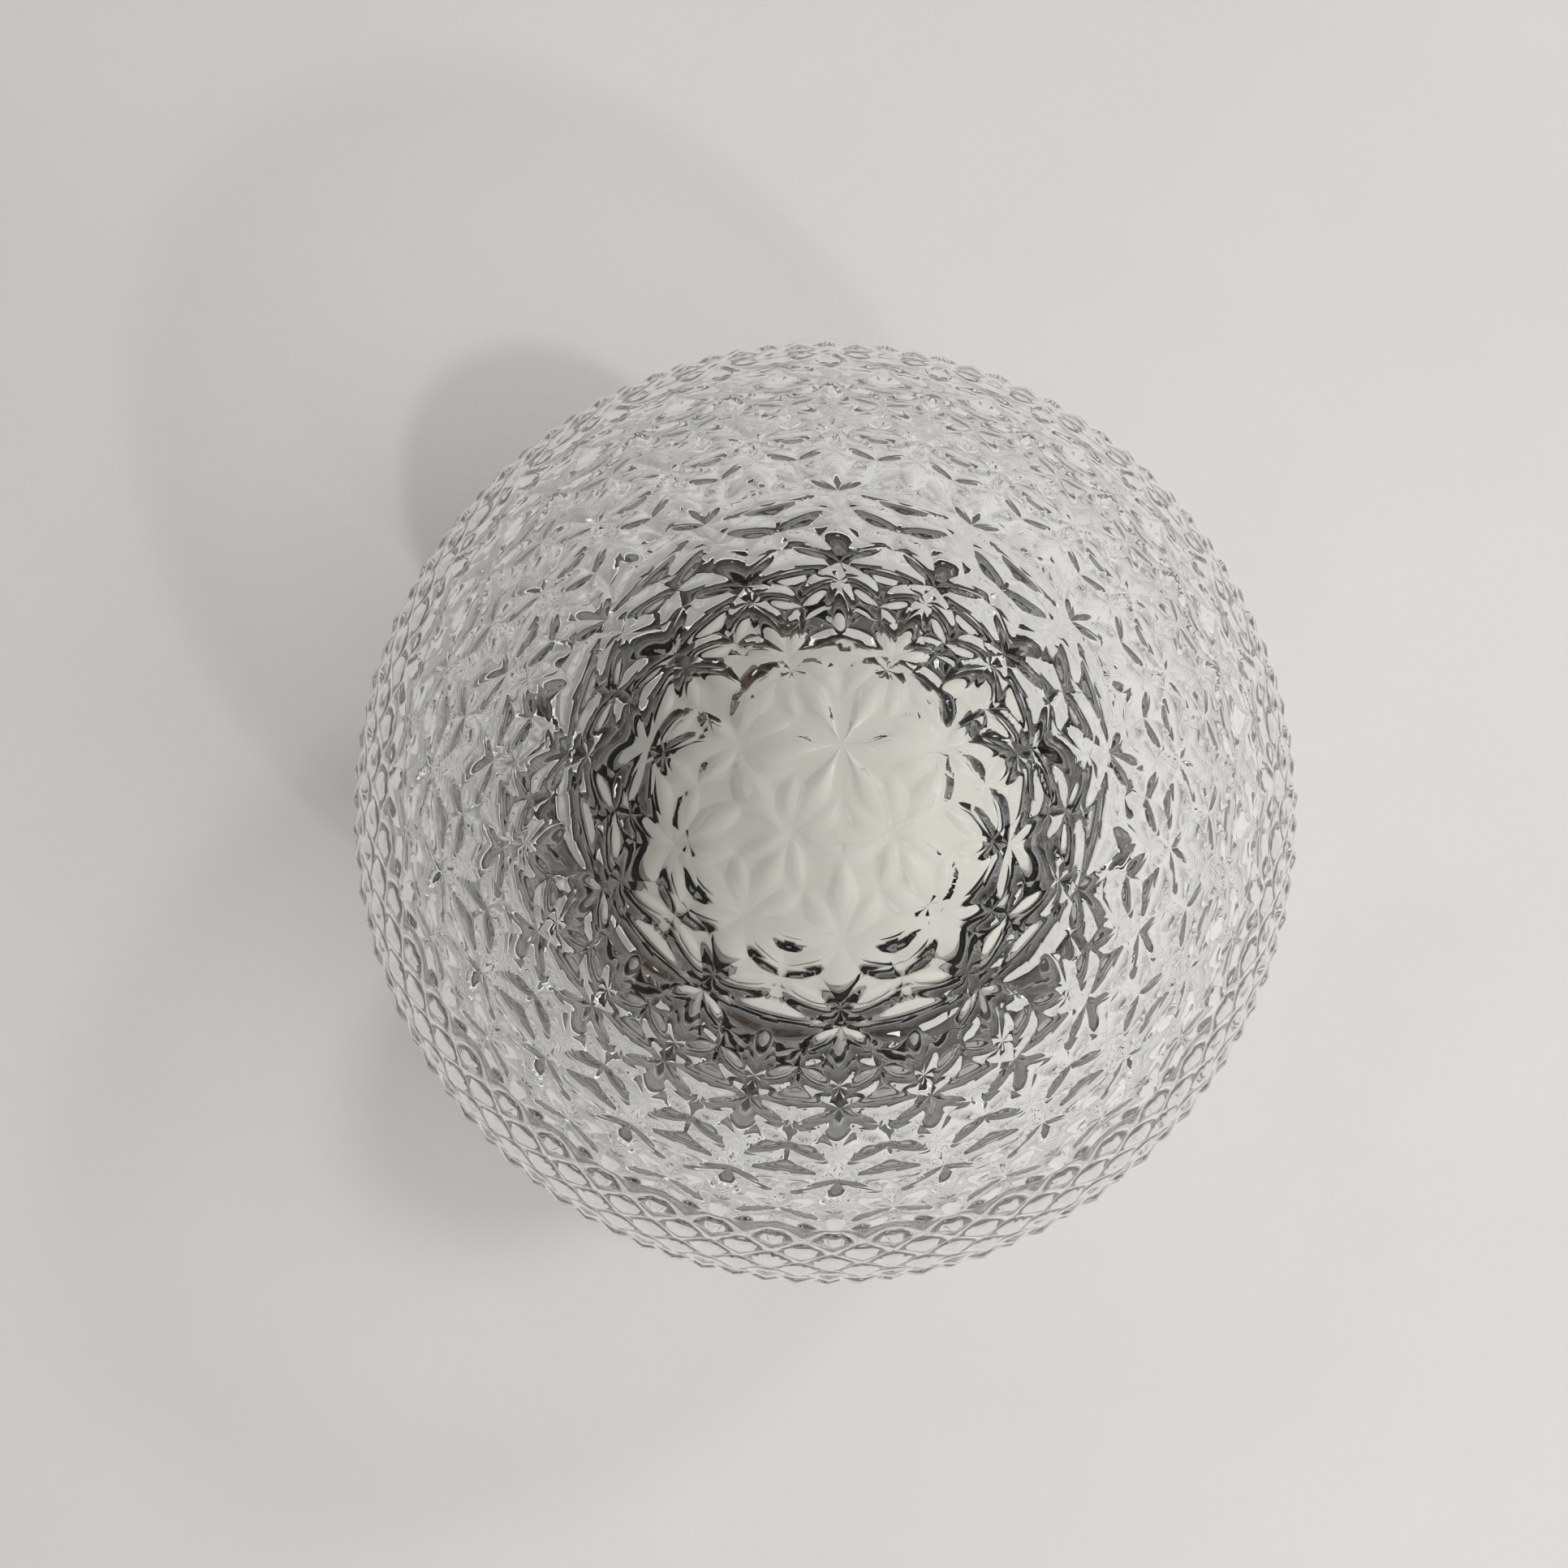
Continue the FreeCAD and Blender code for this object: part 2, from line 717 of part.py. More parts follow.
def knuckled(radius, start, depth, way, upward):
    # Round-topped threads seen in section: a row of arcs, one for each turn of the thread.
    bulge = (dims.thread_pitch * dims.thread_pitch / 4 + depth * depth) / (depth * 2)
    steps = range(int(driving["thread_count"]))
    entries = []
    for step in steps if upward else reversed(steps):
        level = start + dims.thread_pitch * (step if upward else step + 1)
        entries.append((radius, level, way, bulge))
    return entries


def make_shell():
    bottom = socket_floor + dims.screw_gap
    thread_start = bottom + dims.thread_lead_in
    thread_end = thread_start + dims.thread_pitch * dims.thread_count
    top = thread_end + dims.shell_margin
    outline = [(shell_bore, bottom), (shell_radius, bottom), (shell_radius, top), (shell_bore, top)]
    outline += knuckled(shell_bore, thread_start, dims.shell_thread_depth, "right", False)
    outline.append((shell_bore, thread_start))
    keep(turned("lampholder_shell", outline), "lampholder_shell")


def make_contact():
    disc_bottom = contact_top - dims.contact_thickness
    stem_bottom = well_floor + dims.contact_travel + dims.light_gap
    keep(turned("centre_contact", [
        (0, stem_bottom),
        (dims.contact_stem_radius, stem_bottom),
        (dims.contact_stem_radius, disc_bottom),
        (dims.contact_radius, disc_bottom),
        (dims.contact_radius, contact_top - dims.contact_lip, "left", dims.contact_lip),
        (dims.contact_radius - dims.contact_lip, contact_top),
        (0, contact_top),
    ]), "centre_contact")


def make_contact_spring():
    # A coil from the well's floor to the underside of the contact's disc.
    wire = dims.spring_wire.value / 2
    bottom = well_floor.value + wire + dims.spring_ease.value
    top = contact_top.value - dims.contact_thickness.value - wire - dims.spring_ease.value
    height = top - bottom
    radius = dims.spring_radius.value
    spine = Part.Wire(Part.makeHelix(height / dims.spring_turns.value, height, radius).Edges)
    section = Part.Wire(Part.makeCircle(wire, FreeCAD.Vector(radius, 0, 0), FreeCAD.Vector(0, 1, 0)))
    coil = doc.addObject("Part::Feature", "contact_spring")
    coil.Shape = spine.makePipeShell([section], True, True)
    coil.Placement = FreeCAD.Placement(FreeCAD.Vector(0, 0, bottom), FreeCAD.Rotation())
    keep(coil, "contact_spring")


def make_side_contact():
    strip = block("side_contact",
                  (-contact_half, shell_radius + dims.seat_gap, socket_floor + dims.light_gap),
                  (contact_half * 2, dims.holder_bore + dims.side_contact_bend - shell_radius,
                   side_contact_height - dims.overshoot * 2))
    keep(strip, "side_contact")


def make_holder_terminals():
    sleeves = []
    for side in (-1, 1):
        at = (dims.wire_port_reach * side, port_start + dims.contact_lip, dims.wire_level)
        sleeve = rod("terminal_sleeve", at, dims.terminal_radius, dims.terminal_length, along_y)
        bore = rod("terminal_bore", (at[0], port_start, at[2]), dims.wire_radius + dims.screw_gap,
                   dims.terminal_length + dims.overshoot, along_y)
        sleeves.append(cut("holder_terminal", sleeve, bore))
    keep(group("holder_terminals", sleeves), "holder_terminals")


# The bulb.

def make_bulb_tip():
    keep(turned("bulb_tip", [
        (0, tip_level),
        (dims.tip_radius - dims.tip_round, tip_level, "left", dims.tip_round),
        (dims.tip_radius, tip_level + dims.tip_round),
        (dims.tip_radius, insulator_level),
        (0, insulator_level),
    ]), "bulb_tip")


def make_bulb_insulator():
    keep(turned("bulb_insulator", [
        (0, insulator_level),
        (dims.tip_radius + dims.insulator_ledge, insulator_level),
        (cap_bore + dims.cap_wall, cap_level),
        (spigot_radius, cap_level),
        (spigot_radius, cap_level + dims.insulator_spigot),
        (0, cap_level + dims.insulator_spigot),
    ]), "bulb_insulator")


def make_bulb_cap():
    crest = dims.cap_radius - dims.cap_thread_depth
    thread_start = cap_level + dims.cap_lead_in
    thread_end = thread_start + dims.thread_pitch * dims.thread_count
    outline = [(cap_bore, cap_level), (crest, cap_level)]
    outline += knuckled(crest, thread_start, dims.cap_thread_depth, "left", True)
    outline += [
        (crest, thread_end),
        (dims.cap_radius, thread_end + dims.cap_skirt),
        (dims.cap_radius, body_level),
        (cap_bore, body_level),
    ]
    keep(turned("bulb_cap", outline), "bulb_cap")


def make_bulb_body():
    board_seat = dims.seam_radius - dims.body_wall
    spigot = body_level - dims.spigot_depth
    spigot_bore = spigot_radius - dims.spigot_wall
    keep(turned("bulb_body", [
        (spigot_bore, spigot),
        (spigot_radius, spigot),
        (spigot_radius, body_level),
        (dims.stem_radius, body_level),
        (dims.seam_radius, seam_level),
        (board_seat, seam_level),
        (board_seat, board_level),
        (board_seat - dims.board_shelf, board_level),
        (spigot_bore + dims.seat_step, body_level + dims.board_shelf),
        (spigot_bore, body_level),
    ]), "bulb_body")


def make_diffuser():
    outer = solid("Sphere", "diffuser_outer", (0, 0, bulb_centre), Radius=dims.bulb_radius)
    outer.setExpression("Angle1", "-acos(%s)" % (dims.seam_radius / dims.bulb_radius).text)
    inner = solid("Sphere", "diffuser_inner", (0, 0, bulb_centre),
                  Radius=dims.bulb_radius - dims.diffuser_wall)
    keep(cut("bulb_diffuser", outer, inner), "bulb_diffuser")


def make_board():
    radius = dims.seam_radius - dims.body_wall - dims.light_gap
    keep(rod("led_board", (0, 0, board_level), radius, dims.board_thickness), "led_board")
    chips = []
    for index in range(chip_count):
        angle = 360 * index / chip_count
        chip = doc.addObject("Part::Box", "led_chip")
        for prop in ("Length", "Width"):
            bind(chip, prop, dims.chip_size)
        bind(chip, "Height", dims.chip_height)
        chip.Placement.Rotation = FreeCAD.Rotation(angle, 0, 0)
        cosine = round(math.cos(math.radians(angle)), 9)
        sine = round(math.sin(math.radians(angle)), 9)
        near = dims.chip_ring - dims.chip_size / 2
        half = dims.chip_size / 2
        place(chip, (near * cosine + half * sine, near * sine - half * cosine,
                     board_level + dims.board_thickness))
        chips.append(chip)
    keep(group("led_chips", chips), "led_chips")


def make_driver():
    # A small upright board with its capacitor and coil, inside the bulb's body.
    low = body_level - dims.driver_drop
    high = board_level - dims.driver_headroom
    plate = (dims.board_plate_thickness, dims.board_plate_width, high - low)
    board = block("driver_board", (-plate[0] / 2, -plate[1] / 2, low), plate)
    capacitor = rod("driver_capacitor",
                    (dims.capacitor_radius + dims.head_gap, 0, body_level + dims.capacitor_lift),
                    dims.capacitor_radius, dims.capacitor_length)
    coil = rod("driver_coil", (-dims.coil_radius - dims.head_gap, 0, body_level + dims.coil_lift),
               dims.coil_radius, dims.coil_length)
    keep(fuse("led_driver", board, capacitor, coil), "led_driver")


# Terminals and wiring.

def poles():
    for index in range(pole_count):
        yield first_pole + dims.pole_pitch * index


def screw_places():
    for y in poles():
        for side in (-1, 1):
            yield block_centre + dims.tap_spacing / 2 * side, y


def make_terminal_block():
    top = dims.strap_thickness + dims.block_height
    body = block("block_body", (block_start, block_side, dims.strap_thickness),
                 (dims.block_length, block_width, dims.block_height))
    holes = [rod("pole_hole", (block_start - dims.overshoot, y, dims.wire_level),
                 insert_radius + dims.screw_gap, dims.block_length + dims.overshoot * 2, along_x)
             for y in poles()]
    holes += [rod("screw_well", (x, y, dims.wire_level), dims.screw_well_radius, dims.block_height)
              for x, y in screw_places()]
    holes.append(rod("fixing_hole", (block_centre, block_screw_y, 0),
                     dims.block_screw_radius + dims.screw_gap, top + dims.overshoot))
    keep(cut("terminal_block", body, *holes), "terminal_block")


def make_terminal_inserts():
    inserts = []
    for y in poles():
        tube = rod("insert_tube", (block_start + dims.insert_inset, y, dims.wire_level), insert_radius,
                   dims.block_length - dims.insert_inset * 2, along_x)
        holes = [rod("insert_bore", (block_start, y, dims.wire_level), insert_bore,
                     dims.block_length, along_x)]
        for side in (-1, 1):
            holes.append(rod("insert_tap", (block_centre + dims.tap_spacing / 2 * side, y, dims.wire_level),
                             dims.tap_radius, insert_radius + dims.overshoot))
        inserts.append(cut("terminal_insert", tube, *holes))
    keep(group("terminal_inserts", inserts), "terminal_inserts")


def driver_slot(name, x, y, top, head_radius):
    # The slot across a screw's head for the driver.
    half = head_radius + dims.overshoot
    width = dims.driver_slot_width
    return block(name, (x - half, y - width / 2, top - dims.driver_slot_depth),
                 (half * 2, width, dims.driver_slot_depth + dims.overshoot))


def make_terminal_screws():
    tip = dims.wire_level + dims.wire_radius + dims.screw_gap
    seat = dims.wire_level + insert_radius + dims.screw_gap
    top = dims.strap_thickness + dims.block_height - dims.insert_inset
    screws = []
    for x, y in screw_places():
        shank = rod("terminal_shank", (x, y, tip), dims.terminal_screw_radius, top - tip)
        head = rod("terminal_head", (x, y, seat), dims.terminal_screw_head, top - seat)
        slot = driver_slot("terminal_slot", x, y, top, dims.terminal_screw_head)
        screws.append(cut("terminal_screw", fuse("terminal_blank", shank, head), slot))
    keep(group("terminal_screws", screws), "terminal_screws")


def make_block_screw():
    top = dims.strap_thickness + dims.block_height
    shank = rod("block_shank", (block_centre, block_screw_y, dims.slide_gap), dims.block_screw_radius,
                top - dims.slide_gap)
    head = rod("block_head", (block_centre, block_screw_y, top), dims.block_screw_head,
               dims.block_screw_head_height)
    slot = driver_slot("block_slot", block_centre, block_screw_y, top + dims.block_screw_head_height,
                       dims.block_screw_head)
    keep(cut("block_screw", fuse("block_blank", shank, head), slot), "block_screw")


def make_wire(node, route):
    # Straight runs joined by arcs that take up to nine twentieths of the shorter run beside them.
    points = [FreeCAD.Vector(*[as_size(value).value for value in point]) for point in route]
    edges = []
    start = points[0]
    length = 0.0
    for before, corner, after in zip(points, points[1:], points[2:]):
        toward = (corner - before).normalize()
        away = (after - corner).normalize()
        half_turn = toward.getAngle(away) / 2
        reach = wire_bend_share * min((corner - before).Length, (after - corner).Length)
        radius = reach / math.tan(half_turn)
        entry = corner - toward * reach
        leave = corner + away * reach
        inward = (away - toward).normalize()
        centre = corner + inward * (radius / math.cos(half_turn))
        middle = centre - inward * radius
        edges += [Part.LineSegment(start, entry).toShape(), Part.Arc(entry, middle, leave).toShape()]
        length += (entry - start).Length + radius * 2 * half_turn
        start = leave
        print("%s bends at %.1f mm radius" % (node, radius))
    edges.append(Part.LineSegment(start, points[-1]).toShape())
    length += (points[-1] - start).Length
    heading = (points[1] - points[0]).normalize()
    section = Part.Wire(Part.makeCircle(dims.wire_radius.value, points[0], heading))
    wire = doc.addObject("Part::Feature", node)
    wire.Shape = Part.Wire(edges).makePipeShell([section], True, True)
    expected = math.pi * dims.wire_radius.value ** 2 * length
    if abs(wire.Shape.Volume / expected - 1) > volume_slack:
        raise RuntimeError("%s has the wrong volume" % node)
    keep(wire, node)


def make_wires():
    level = dims.wire_level
    neutral_y = first_pole
    live_y = first_pole + dims.pole_pitch
    earth_y = first_pole + dims.pole_pitch * 2
    port = dims.wire_port_reach
    strap_level = dims.strap_thickness + dims.wire_radius
    clamp_y = earth_screw_reach - dims.earth_screw_radius - dims.wire_radius - dims.contact_lip
    make_wire("wire_neutral", [
        (insert_stop, neutral_y, level),
        (port, neutral_y, level),
        (port, wire_end, level),
    ])
    make_wire("wire_live", [
        (insert_stop, live_y, level),
        (-port, live_y, level),
        (-port, wire_end, level),
    ])
    make_wire("wire_earth", [
        (insert_stop, earth_y, level),
        (block_start - dims.earth_lead, earth_y, level),
        (dims.earth_clamp_start, clamp_y, strap_level),
        (-dims.earth_clamp_end, clamp_y, strap_level),
    ])


def make_earth_screw():
    washer_level = dims.strap_thickness + dims.wire_radius * 2 + dims.seat_gap
    washer_top = washer_level + dims.washer_thickness
    y = earth_screw_reach
    ring = rod("washer_disc", (0, y, washer_level), dims.earth_washer_radius, dims.washer_thickness)
    hole = bored("washer_hole", 0, y, washer_level, dims.washer_thickness,
                 dims.earth_screw_radius + dims.screw_gap)
    keep(cut("earth_washer", ring, hole), "earth_washer")
    shank = rod("earth_shank", (0, y, dims.light_gap), dims.earth_screw_radius, washer_top - dims.light_gap)
    head = rod("earth_head", (0, y, washer_top), dims.earth_screw_head, dims.earth_screw_head_height)
    slot = driver_slot("earth_slot", as_size(0), y, washer_top + dims.earth_screw_head_height,
                       dims.earth_screw_head)
    keep(cut("earth_screw", fuse("earth_blank", shank, head), slot), "earth_screw")


for make in (make_globe, make_neck_seal, make_housing, make_gasket, make_collar, make_rivets,
             make_reflector, make_reflector_screws, make_bracket, make_side_screws, make_grommet,
             make_bridge, make_holder, make_holder_screws, make_shell, make_contact,
             make_contact_spring, make_side_contact, make_holder_terminals, make_bulb_tip,
             make_bulb_insulator, make_bulb_cap, make_bulb_body, make_diffuser, make_board,
             make_driver, make_terminal_block, make_terminal_inserts, make_terminal_screws,
             make_block_screw, make_wires, make_earth_screw):
    make()

doc.recompute()

for thing in doc.Objects:
    if "Invalid" in thing.State or "Error" in thing.State:
        raise RuntimeError("%s did not rebuild" % thing.Label)

os.makedirs("parts", exist_ok=True)
for piece in subparts:
    if piece.Shape.isNull() or not piece.Shape.isValid() or not piece.Shape.Solids:
        raise RuntimeError("%s is not a valid solid" % piece.Label)
for piece in subparts:
    piece.Shape.exportStep("parts/%s.step" % piece.Label)
    print("%-20s %2d solids %12.1f mm3" % (piece.Label, len(piece.Shape.Solids), piece.Shape.Volume))
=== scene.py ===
import json
import math

import bmesh
import bpy
import numpy as np
from mathutils import Matrix, Vector


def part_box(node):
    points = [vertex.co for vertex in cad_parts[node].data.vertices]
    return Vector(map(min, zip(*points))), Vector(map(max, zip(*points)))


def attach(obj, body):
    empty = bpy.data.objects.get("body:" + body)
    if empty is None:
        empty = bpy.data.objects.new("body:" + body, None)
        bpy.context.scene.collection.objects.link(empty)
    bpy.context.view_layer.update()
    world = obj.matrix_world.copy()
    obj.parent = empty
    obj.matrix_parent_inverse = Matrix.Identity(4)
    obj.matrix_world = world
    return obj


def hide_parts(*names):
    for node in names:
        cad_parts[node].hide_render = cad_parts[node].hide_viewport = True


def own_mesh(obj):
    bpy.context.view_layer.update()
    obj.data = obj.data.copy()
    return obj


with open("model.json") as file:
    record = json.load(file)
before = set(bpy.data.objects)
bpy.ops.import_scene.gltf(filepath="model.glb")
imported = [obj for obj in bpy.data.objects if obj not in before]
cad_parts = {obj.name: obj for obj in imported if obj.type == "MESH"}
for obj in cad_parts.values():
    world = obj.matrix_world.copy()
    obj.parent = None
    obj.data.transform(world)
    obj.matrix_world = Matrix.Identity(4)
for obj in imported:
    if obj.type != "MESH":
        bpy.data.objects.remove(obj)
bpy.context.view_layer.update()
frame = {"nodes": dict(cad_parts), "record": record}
scene = bpy.context.scene
print("frame loaded")

# looking down the lamp's axis, tipped a little, as when standing under it
cameraSet = {"place": (-0.0106, -0.0357, 0.3838), "forward": (0.014, 0.132, -0.991), "up": (0, 0.991, 0.132), "lens": 42.6}
camData = bpy.data.cameras.new("lookingUp")
camData.lens = cameraSet["lens"]
cam = bpy.data.objects.new("lookingUp", camData)
scene.collection.objects.link(cam)
forward = Vector(cameraSet["forward"]).normalized()
right = forward.cross(Vector(cameraSet["up"])).normalized()
upward = right.cross(forward)
turn = Matrix((right, upward, -forward)).transposed().to_4x4()
cam.matrix_world = Matrix.Translation(cameraSet["place"]) @ turn
scene.camera = cam


def addNode(tree, kind, at=(0, 0), **values):
    node = tree.nodes.new("ShaderNode" + kind)
    node.location = at
    for key, value in values.items():
        if hasattr(node, key):
            setattr(node, key, value)
        else:
            node.inputs[key.replace("_", " ")].default_value = value
    return node


def maths(tree, operation, first, second=None, third=None, clamp=False):
    node = tree.nodes.new("ShaderNodeMath")
    node.operation = operation
    node.use_clamp = clamp
    for slot, value in enumerate((first, second, third)):
        if value is None:
            continue
        if isinstance(value, (int, float)):
            node.inputs[slot].default_value = value
        else:
            tree.links.new(value, node.inputs[slot])
    return node.outputs[0]


def newGroup(name, inputs, outputs):
    tree = bpy.data.node_groups.new(name, "ShaderNodeTree")
    for label, kind, value in inputs:
        socket = tree.interface.new_socket(label, in_out="INPUT", socket_type="NodeSocket" + kind)
        if value is not None:
            socket.default_value = value
    for label, kind in outputs:
        tree.interface.new_socket(label, in_out="OUTPUT", socket_type="NodeSocket" + kind)
    return tree, tree.nodes.new("NodeGroupInput"), tree.nodes.new("NodeGroupOutput")


def placeGroup(tree, group, **values):
    node = tree.nodes.new("ShaderNodeGroup")
    node.node_tree = group
    for key, value in values.items():
        node.inputs[key].default_value = value
    return node


def meshObject(name, bm, material, body, smooth=True):
    mesh = bpy.data.meshes.new(name)
    bm.to_mesh(mesh)
    bm.free()
    mesh.materials.append(material)
    for polygon in mesh.polygons:
        polygon.use_smooth = smooth
    obj = bpy.data.objects.new(name, mesh)
    scene.collection.objects.link(obj)
    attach(obj, body)
    return obj


def wearGroup():
    # uneven handling: two sizes of cloud in the colour and the roughness, fine grain in the height
    tree, got, out = newGroup("handling", [
        ("Colour", "Color", (0.5, 0.5, 0.5, 1)), ("Second", "Color", (0.4, 0.4, 0.4, 1)),
        ("Smooth", "Float", 0.1), ("Rough", "Float", 0.3), ("Size", "Float", 60.0), ("Grain", "Float", 1500.0),
    ], [("Colour", "Color"), ("Roughness", "Float"), ("Height", "Float")])
    spot = addNode(tree, "TexCoord")
    cloud = addNode(tree, "TexNoise", Detail=4.0, Roughness=0.6)
    grain = addNode(tree, "TexNoise", Detail=2.0)
    for node, size in ((cloud, "Size"), (grain, "Grain")):
        tree.links.new(spot.outputs["Object"], node.inputs["Vector"])
        tree.links.new(got.outputs[size], node.inputs["Scale"])
    share = addNode(tree, "MapRange", From_Min=0.35, From_Max=0.7)
    tree.links.new(cloud.outputs["Fac"], share.inputs["Value"])
    mix = addNode(tree, "Mix", data_type="RGBA")
    tree.links.new(share.outputs[0], mix.inputs[0])
    tree.links.new(got.outputs["Colour"], mix.inputs[6])
    tree.links.new(got.outputs["Second"], mix.inputs[7])
    rough = addNode(tree, "MapRange")
    tree.links.new(share.outputs[0], rough.inputs["Value"])
    tree.links.new(got.outputs["Smooth"], rough.inputs["To Min"])
    tree.links.new(got.outputs["Rough"], rough.inputs["To Max"])
    tree.links.new(mix.outputs[2], out.inputs["Colour"])
    tree.links.new(rough.outputs[0], out.inputs["Roughness"])
    tree.links.new(grain.outputs["Fac"], out.inputs["Height"])
    return tree


def ringsGroup():
    # fine rings round the lamp's axis, as a spinning lathe or polishing wheel leaves them
    tree, got, out = newGroup("spunRings", [("Pitch", "Float", 0.0004)], [("Height", "Float")])
    spot = addNode(tree, "TexCoord")
    parts = addNode(tree, "SeparateXYZ")
    tree.links.new(spot.outputs["Object"], parts.inputs[0])
    across = maths(tree, "SQRT", maths(tree, "ADD", maths(tree, "MULTIPLY", parts.outputs[0], parts.outputs[0]),
                                       maths(tree, "MULTIPLY", parts.outputs[1], parts.outputs[1])))
    line = maths(tree, "DIVIDE", maths(tree, "ADD", across, parts.outputs[2]), got.outputs["Pitch"])
    noise = addNode(tree, "TexNoise", noise_dimensions="1D", Scale=1.0, Detail=3.0)
    tree.links.new(line, noise.inputs["W"])
    tree.links.new(noise.outputs["Fac"], out.inputs["Height"])
    return tree


handling = wearGroup()
spunRings = ringsGroup()


def newMaterial(name):
    material = bpy.data.materials.new(name)
    material.use_nodes = True
    tree = material.node_tree
    shader = next(node for node in tree.nodes if node.type == "BSDF_PRINCIPLED")
    return material, tree, shader


# each finish: main colour, second colour, metallic, roughness from and to, cloud size, grain size, bump depth
finishes = {
    "black_rubber": ((0.022, 0.022, 0.023), (0.045, 0.044, 0.043), 0, 0.55, 0.75, 90, 2600, 0.00006),
    "chrome": ((0.86, 0.86, 0.87), (0.8, 0.8, 0.82), 1, 0.008, 0.03, 45, 900, 0.0000015),
    "grey_foam": ((0.12, 0.12, 0.125), (0.07, 0.07, 0.075), 0, 0.85, 0.95, 500, 1800, 0.0003),
    "polished_aluminium": ((0.9, 0.9, 0.91), (0.83, 0.83, 0.85), 1, 0.03, 0.08, 60, 1400, 0.000003),
    "zinc": ((0.6, 0.62, 0.64), (0.5, 0.51, 0.5), 1, 0.28, 0.42, 120, 1600, 0.00001),
    "porcelain": ((0.82, 0.8, 0.75), (0.77, 0.74, 0.68), 0, 0.08, 0.2, 70, 500, 0.00003),
    "brass": ((0.75, 0.55, 0.24), (0.6, 0.42, 0.18), 1, 0.18, 0.35, 150, 1500, 0.00001),
    "spring_steel": ((0.42, 0.42, 0.43), (0.3, 0.3, 0.31), 1, 0.2, 0.35, 200, 2500, 0.000006),
    "solder": ((0.6, 0.6, 0.58), (0.48, 0.48, 0.46), 1, 0.3, 0.5, 260, 1200, 0.00003),
    "black_glass": ((0.012, 0.012, 0.014), (0.025, 0.024, 0.024), 0, 0.06, 0.16, 150, 700, 0.00001),
    "nickel": ((0.68, 0.65, 0.58), (0.56, 0.53, 0.47), 1, 0.16, 0.3, 110, 1800, 0.000006),
    "white_plastic": ((0.83, 0.83, 0.8), (0.76, 0.75, 0.72), 0, 0.32, 0.45, 80, 2400, 0.00001),
    "opal_plastic": ((0.74, 0.72, 0.67), (0.7, 0.68, 0.62), 0, 0.3, 0.42, 30, 2200, 0.000008),
    "board_white": ((0.78, 0.79, 0.76), (0.68, 0.69, 0.66), 0, 0.4, 0.5, 200, 2600, 0.00001),
    "led_yellow": ((0.85, 0.62, 0.08), (0.75, 0.5, 0.05), 0, 0.25, 0.4, 700, 3000, 0.00001),
    "driver_green": ((0.03, 0.2, 0.08), (0.05, 0.26, 0.12), 0, 0.35, 0.5, 260, 1500, 0.00002),
    "nylon": ((0.76, 0.74, 0.66), (0.68, 0.66, 0.57), 0, 0.38, 0.5, 120, 2200, 0.00001),
    "wire_blue": ((0.02, 0.1, 0.5), (0.03, 0.13, 0.56), 0, 0.35, 0.5, 300, 2500, 0.00001),
    "wire_brown": ((0.16, 0.065, 0.03), (0.2, 0.085, 0.04), 0, 0.35, 0.5, 300, 2500, 0.00001),
    "wire_green": ((0.08, 0.3, 0.03), (0.1, 0.35, 0.05), 0, 0.35, 0.5, 300, 2500, 0.00001),
}
ringed = {"chrome": 0.0005, "polished_aluminium": 0.0003, "nickel": 0.00035, "spring_steel": 0.0004}  # pitch of the rings
made = {}

for name, (main, second, metallic, smoothEnd, roughEnd, cloudSize, grainSize, depth) in finishes.items():
    material, tree, shader = newMaterial(name)
    worn = placeGroup(tree, handling, Colour=(*main, 1), Second=(*second, 1), Smooth=smoothEnd, Rough=roughEnd,
                      Size=float(cloudSize), Grain=float(grainSize))
    tree.links.new(worn.outputs["Colour"], shader.inputs["Base Color"])
    tree.links.new(worn.outputs["Roughness"], shader.inputs["Roughness"])
    shader.inputs["Metallic"].default_value = metallic
    bump = addNode(tree, "Bump", Distance=depth)
    if name in ringed:
        rings = placeGroup(tree, spunRings, Pitch=ringed[name])
        tree.links.new(maths(tree, "ADD", worn.outputs["Height"], rings.outputs["Height"]), bump.inputs["Height"])
    else:
        tree.links.new(worn.outputs["Height"], bump.inputs["Height"])
    tree.links.new(bump.outputs["Normal"], shader.inputs["Normal"])
    made[name] = material
print("finishes made:", len(made))


glass = {
    "radius": 0.075, "rise": 0.0675, "drop": 0.05325, "equator": 0.086,
    "innerRadius": 0.0695, "innerRise": 0.062, "innerDrop": 0.0527,
    "neck": 0.04225, "bore": 0.03825, "shoulder": 0.042, "foot": 0.03, "footRound": 0.0008,
    "rowAngles": (0, 10, 19, 28, 37.5, 47.5, 58.5),  # star rows, degrees from the pole
    "rowStars": (6, 12, 12, 24, 24, 24, 48),  # cells round the globe outside each row
    "diamondTurn": 7.5, "diamondEnd": 119.0, "diamondDepth": 0.0012, "diamondDrop": 0.0004,
    "petalWidth": 0.2, "petalDepth": 0.00055, "poleWidth": 0.26,
    "slantWidth": 0.21, "slantDepth": 0.00045, "pillow": 0.00015,
    "slices": 12,  # the globe is spun as one slice and copied round
    "carved": 0.75,  # share of the stars' depth that is in the mesh; the rest is in the bump
}


